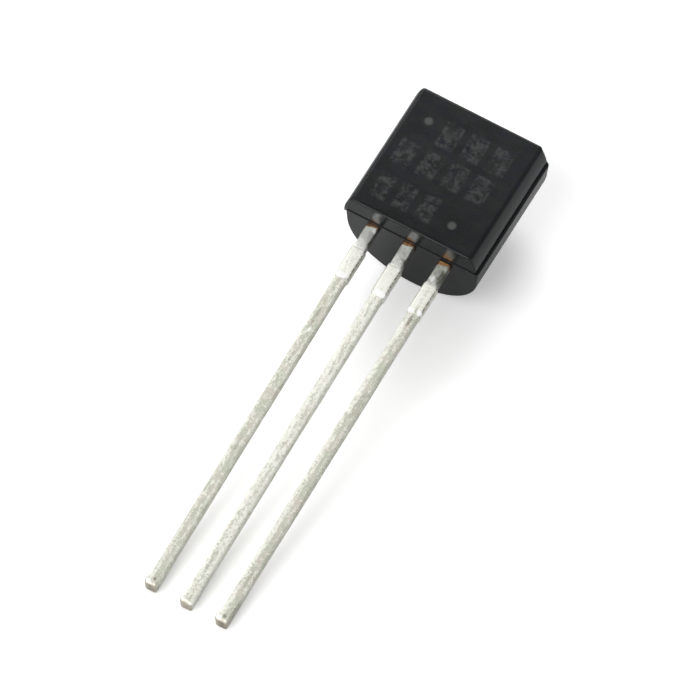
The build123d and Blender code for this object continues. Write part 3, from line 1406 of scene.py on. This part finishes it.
@dataclass
class Lead:
    """One lead: a copy of its sealed inner end and a worn, plated outer run.

    Lengths are in millimetres. Each tip rounding has a length along the lead, and a depth.
    """

    node: str
    number: int
    exit_x: float
    tip_x: float
    crease: Crease
    lead_length: float = 14.04
    lead_width: float = 0.38
    lead_thickness: float = 0.40
    lead_setback: float = 0.10
    edge_round: float = 0.04
    dambar_width: float = 0.46
    dambar_start: float = 0.97
    dambar_length: float = 0.92
    dambar_bevel: float = 0.20
    dambar_swell: float = 0.025
    crown: float = 0.006
    # Sheared sides of the dam bar's remains, and the lead's slight wave
    shear_in: float = 0.03
    shear_out: float = 0.05
    jag: float = 0.006
    jag_turns: Point = (2.7, 15.0, 9.0)
    wave: float = 0.006
    wave_turns: Pair = (5.1, 0.6)
    wave_start: float = 2.0
    tip_left: Pair = (0.22, 0.17)
    tip_right: Pair = (0.07, 0.05)
    tip_front: Pair = (0.20, 0.15)
    tip_back: Pair = (0.075, 0.055)
    tip_flare: float = 0.105
    tip_flare_length: float = 0.42
    tip_flare_back: float = 0.75
    seal: float = 0.03
    # How finely the outer run is cut up, so that it can be worked
    rings: int = 300
    columns: int = 8
    edge_steps: int = 3
    layers: tuple[float, ...] = (0.3, 0.5, 0.7)
    turn_gap: float = 0.012
    tip_degrees: tuple[int, ...] = (0, 10, 20, 30, 40, 50, 60, 70, 80)
    crease_fade: float = 8.0
    double_reach: float = 1e-4
    sharp_degrees: float = 35.0
    finish: TinFinish = TinFinish()

    def outer_run(self) -> bmesh.types.BMesh:
        """Make the outer run, in the lead's own frame: middle of its front, from y = seal.

        Returns:
            The run's shape.
        """
        shape = bmesh.new()
        length = self.lead_length + self.seal
        size = Matrix.Diagonal((self.lead_width, length, self.lead_thickness, 1))
        bmesh.ops.create_cube(shape, size=1.0, matrix=size)
        centre = (0, self.seal - length / 2, -self.lead_thickness / 2)
        bmesh.ops.translate(shape, vec=centre, verts=shape.verts)
        round_edges(shape, self.long_edges(shape), self.edge_round, self.edge_steps)
        for column in range(1, self.columns):
            side = (column / self.columns - 0.5) * (self.lead_width - 2 * self.edge_round)
            cut_across(shape, (side, 0, 0), (1, 0, 0))
        for layer in self.layers:
            cut_across(shape, (0, 0, -self.lead_thickness * layer), (0, 0, 1))
        bmesh.ops.subdivide_edges(shape, edges=self.long_edges(shape), cuts=self.rings)
        start, end = self.dambar_start, self.dambar_start + self.dambar_length
        for turn in (start - self.dambar_bevel / 2, start, end, end + self.dambar_bevel):
            for side in (-self.turn_gap, self.turn_gap):
                cut_across(shape, (0, -turn + side, 0), (0, 1, 0))
        for angle in self.tip_degrees:
            back = self.tip_left[0] * (1 - math.sin(math.radians(angle)))
            cut_across(shape, (0, back - self.lead_length, 0), (0, 1, 0))
        self.note_places(shape, 0.0)
        for vertex in shape.verts:
            vertex.co = self.worked(vertex.co.copy())
        return shape

    def note_places(self, shape: bmesh.types.BMesh, exit_x: float) -> None:
        """Write each point's place along the lead into the attribute that the tin follows.

        Args:
            shape: the shape to note.
            exit_x: place of the lead's middle in the shape, in x.
        """
        layer = shape.verts.layers.float_vector.new("lead_place")
        for vertex in shape.verts:
            across, along, depth = vertex.co
            vertex[layer] = (across - exit_x, along, depth + LEAD_STEP * self.number)

    def long_edges(self, shape: bmesh.types.BMesh) -> list[bmesh.types.BMEdge]:
        """Return the edges that run the whole way along the lead."""
        return [edge for edge in shape.edges if edge.calc_length() > self.lead_length / 2]

    def drawn_in(self, reach: float, rounding: Pair) -> float:
        """Return how far the tip's rounding has drawn a side in.

        Args:
            reach: distance from the moulding.
            rounding: the rounding's length along the lead, and its depth.

        Returns:
            The distance that the side has moved inwards.
        """
        length, depth = rounding
        past = min(1.0, max(0.0, (reach - self.lead_length + length) / length))
        return depth * (1 - math.sqrt(1 - past**2))

    def worked(self, place: Vector) -> Vector:
        """Return where the press tools and handling left a point of the lead.

        Args:
            place: a point of the plain straight run, in the lead's own frame.

        Returns:
            The moved point.
        """
        reach = -place.y
        end = self.dambar_start + self.dambar_length
        share = self.dambar_swell + self.edge_round
        rise = (reach - self.dambar_start) / (self.dambar_bevel / 2) * share + self.dambar_swell
        fall = (end - reach) / self.dambar_bevel * share + self.dambar_swell
        lifted = max(0.0, min(self.dambar_swell, rise, fall))
        front = max(0.0, 1.0 + place.z / (self.edge_round * 2))
        place.z += lifted * front
        # Punching rounded the front off towards its long edges
        place.z -= self.crown * abs(place.x / (self.lead_width / 2)) ** 3 * min(1.0, front)
        # Sheared sides of the dam bar's remains, a little jagged
        ramp_in = (reach - self.dambar_start + self.dambar_bevel / 2) / self.shear_in
        ramp_out = (end + self.dambar_bevel - reach) / self.shear_out
        wide = max(0.0, min(1.0, ramp_in, ramp_out))
        side = place.x / (self.lead_width / 2)
        own, fine, deep = self.jag_turns
        spot = Vector((self.number * own, reach * fine, side * 2 + place.z * deep))
        jag = self.jag * noise.noise(spot)
        place.x += side * wide * ((self.dambar_width - self.lead_width) / 2 + jag)
        # Slanted facet between the moulding and the dam bar
        crease = self.crease
        if crease.near_y < reach < crease.far_y:
            part = (reach - crease.near_y) / (crease.far_y - crease.near_y)
            line = crease.near_x + (crease.far_x - crease.near_x) * part
            fade = min(1.0, part * self.crease_fade, (1 - part) * self.crease_fade)
            place.z -= max(0.0, place.x - line) * crease.slope * fade * min(1.0, front)
        # Tip rounded most on its left, where the cutter pressed it
        flank = self.tip_left if place.x < 0 else self.tip_right
        place.x *= 1 - self.drawn_in(reach, flank) / (self.lead_width / 2)
        half = self.lead_thickness / 2
        face = self.tip_front if place.z > -half else self.tip_back
        place.z = (place.z + half) * (1 - self.drawn_in(reach, face) / half) - half
        flare = max(0.0, 1.0 - (self.lead_length - reach) / self.tip_flare_length)
        flare *= flare * (3 - 2 * flare)
        place.x += min(0.0, side) * self.tip_flare * flare * min(1.0, front + self.tip_flare_back)
        if reach > 0:
            own, slow = self.wave_turns
            wave = noise.noise(Vector((self.number * own, reach * slow, 0.0)))
            place.x += self.wave * wave * min(1.0, reach / self.wave_start)
        return place

    def sealed_end(self, package: PackageFrame) -> bmesh.types.BMesh:
        """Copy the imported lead's inner end.

        Args:
            package: place of the package.

        Returns:
            The copy, in package millimetres.
        """
        shape = bmesh.new()
        shape.from_mesh(frame["nodes"][self.node].data)
        shape.transform(package.matrix().inverted())
        bmesh.ops.remove_doubles(shape, verts=shape.verts, dist=self.double_reach)
        rim = cut_across(shape, (0, self.seal, 0), (0, -1, 0), clear_outer=True)
        bmesh.ops.contextual_create(shape, geom=rim)
        self.note_places(shape, self.exit_x)
        return shape

    def build(self, package: PackageFrame) -> bpy.types.Object:
        """Build and dress the lead.

        Args:
            package: place of the package.

        Returns:
            The piece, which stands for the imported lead.
        """
        shape = self.outer_run()
        lean = math.atan2(self.tip_x - self.exit_x, self.lead_length)
        place = Matrix.Translation((self.exit_x, 0, -self.lead_setback))
        shape.transform(place @ Matrix.Rotation(lean, 4, "Z"))
        join_shape(shape, self.sealed_end(package))
        name = self.node.replace("_lead", "_plated_lead")
        piece = finish_piece(name, shape, package, self.finish, self.sharp_degrees)
        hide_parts(self.node)
        return piece


# --------------------------------------------------------------- camera and stage
@dataclass(frozen=True)
class SoftLamp:
    """One square soft lamp round the part.

    Attributes:
        name: the lamp's name.
        azimuth: its bearing in degrees, 0 in front of the lead tips and 90 on the right.
        elevation: its height above the ground, in degrees.
        size: side of the lamp, in metres.
        power: power, in watts.
    """

    name: str
    azimuth: float
    elevation: float
    size: float
    power: float


@dataclass
class Studio:
    """White ground, soft light and the camera.

    Angles are in degrees, the aim and the lens in millimetres, and other lengths in metres.
    """

    package: PackageFrame
    azimuth: float = 22.05
    elevation: float = 54.196
    roll: float = 8.935
    distance: float = 0.3713
    focal_length: float = 626.4
    aim: Point = (-0.1375, 1.3564, 0.6161)
    sensor_width: float = 36.0
    clip: Pair = (0.01, 10.0)
    floor_size: float = 3.0
    floor_albedo: float = 0.8
    floor_seen: float = 0.2
    floor_mirrored: float = -0.2
    floor_lift: float = 0.27
    tent_level: float = 0.33
    lamp_distance: float = 0.6
    lamps: tuple[SoftLamp, ...] = (
        SoftLamp("front", 338, 44, 0.40, 2.20),
        SoftLamp("back", 212, 38, 0.44, 2.00),
        SoftLamp("low_back", 225, 12, 0.40, 0.65),
        SoftLamp("right", 80, 18, 0.30, 0.90),
    )

    def build(self) -> None:
        """Make the stage, the lights and the camera."""
        self.make_floor()
        self.make_world()
        self.make_lamps()
        self.make_camera()

    def make_floor(self) -> None:
        """Make a plain white ground that keeps the part's shadow."""
        shape = bmesh.new()
        bmesh.ops.create_grid(shape, x_segments=1, y_segments=1, size=self.floor_size)
        mesh = bpy.data.meshes.new("ground")
        shape.to_mesh(mesh)
        shape.free()
        ground = bpy.data.objects.new("ground", mesh)
        bpy.context.scene.collection.objects.link(ground)
        material = bpy.data.materials.new("white_ground")
        material.use_nodes = True
        tree = material.node_tree
        tree.nodes.clear()
        bench = NodeBench(tree, self.package)
        output = bench.add("OutputMaterial")
        path = bench.add("LightPath").outputs
        seen, mirrored = path["Is Camera Ray"], path["Is Glossy Ray"]
        shade = bench.math("MULTIPLY_ADD", seen, self.floor_seen, self.floor_albedo)
        shade = bench.math("MULTIPLY_ADD", mirrored, self.floor_mirrored, shade)
        diffuse, glow = bench.add("BsdfDiffuse"), bench.add("Emission")
        bench.feed(diffuse.inputs["Color"], shade)
        bench.feed(glow.inputs["Strength"], bench.product(seen, self.floor_lift))
        total = bench.add("AddShader")
        bench.feed(total.inputs[0], diffuse.outputs[0])
        bench.feed(total.inputs[1], glow.outputs[0])
        bench.feed(output.inputs["Surface"], total.outputs[0])
        mesh.materials.append(material)

    def make_world(self) -> None:
        """Make an even light tent, with white where the camera sees it."""
        world = bpy.data.worlds.new("studio")
        bpy.context.scene.world = world
        world.use_nodes = True
        tree = world.node_tree
        tree.nodes.clear()
        bench = NodeBench(tree, self.package)
        output = bench.add("OutputWorld")
        soft = bench.add("Background")
        soft.inputs["Strength"].default_value = self.tent_level
        white = bench.add("Background")
        white.inputs["Color"].default_value = (1, 1, 1, 1)
        mix = bench.add("MixShader")
        bench.feed(mix.inputs[0], bench.add("LightPath").outputs["Is Camera Ray"])
        bench.feed(mix.inputs[1], soft.outputs[0])
        bench.feed(mix.inputs[2], white.outputs[0])
        bench.feed(output.inputs["Surface"], mix.outputs[0])

    def make_lamps(self) -> None:
        """Hang the soft lamps round the part."""
        for lamp in self.lamps:
            towards = self.direction(lamp.azimuth, lamp.elevation)
            data = bpy.data.lights.new(lamp.name, "AREA")
            data.size = lamp.size
            data.energy = lamp.power
            hung = bpy.data.objects.new(lamp.name, data)
            hung.location = towards * self.lamp_distance
            hung.rotation_euler = towards.to_track_quat("Z", "Y").to_euler()
            bpy.context.scene.collection.objects.link(hung)

    def direction(self, azimuth: float, elevation: float) -> Vector:
        """Find the direction from the part to a bearing and a height.

        Args:
            azimuth: the bearing, in degrees.
            elevation: the height, in degrees.

        Returns:
            The unit direction.
        """
        turn, rise = math.radians(azimuth), math.radians(elevation)
        level = math.cos(rise)
        return Vector((math.sin(turn) * level, -math.cos(turn) * level, math.sin(rise)))

    def make_camera(self) -> None:
        """Place the camera by its azimuth, elevation and roll."""
        back = self.direction(self.azimuth, self.elevation)
        data = bpy.data.cameras.new("camera")
        data.sensor_width = self.sensor_width
        data.lens = self.focal_length
        data.clip_start, data.clip_end = self.clip
        camera = bpy.data.objects.new("camera", data)
        camera.location = Vector(self.aim) * MM + back * self.distance
        turn = back.to_track_quat("Z", "Y").to_matrix().to_4x4()
        roll = Matrix.Rotation(math.radians(self.roll), 4, "Z")
        camera.matrix_world = Matrix.Translation(camera.location) @ turn @ roll
        bpy.context.scene.collection.objects.link(camera)
        bpy.context.scene.camera = camera


def dress_sealed_nodes(package: PackageFrame) -> None:
    """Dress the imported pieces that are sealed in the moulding.

    Args:
        package: place of the package.
    """
    wire = SealedMetal("aluminium_wire", colour=(0.80, 0.80, 0.80, 1), roughness=0.28)
    finishes = {
        "thyristor_die": SealedMetal("silicon", colour=(0.30, 0.32, 0.36, 1), roughness=0.12),
        "die_solder": SealedMetal("solder", colour=(0.62, 0.62, 0.62, 1), roughness=0.38),
        "cathode_wire": wire,
        "gate_wire": wire,
    }
    for node, finish in finishes.items():
        for slot in frame["nodes"][node].material_slots:
            slot.material = finish.material(package)
        LOG.info("%s dressed in %s", node, finish.name)


def main() -> None:
    """Build the whole scene in order."""
    logging.basicConfig(level=logging.INFO, format="%(message)s")
    bpy.context.scene.view_settings.view_transform = "Standard"
    body = MouldedBody()
    package = body.package()
    tilt = math.degrees(package.tilt)
    LOG.info("package at %s, tilted by %.3f degrees", tuple(package.origin), tilt)
    LOG.info("%s built", body.build(package).name)
    left = Crease(near_y=0.16, far_y=0.66, near_x=0.02, far_x=0.10, slope=0.45)
    middle = Crease(near_y=0.20, far_y=0.64, near_x=0.16, far_x=0.00, slope=0.40)
    right = Crease(near_y=0.26, far_y=0.92, near_x=-0.02, far_x=0.14, slope=0.50)
    for lead in (
        Lead("cathode_lead", number=1, exit_x=-1.27, tip_x=-0.98, crease=left),
        Lead("gate_lead", number=2, exit_x=0.0, tip_x=0.24, crease=middle),
        Lead("anode_lead", number=3, exit_x=1.27, tip_x=1.46, crease=right),
    ):
        LOG.info("%s built", lead.build(package).name)
    dress_sealed_nodes(package)
    Studio(package).build()


if __name__ == "__main__":
    main()
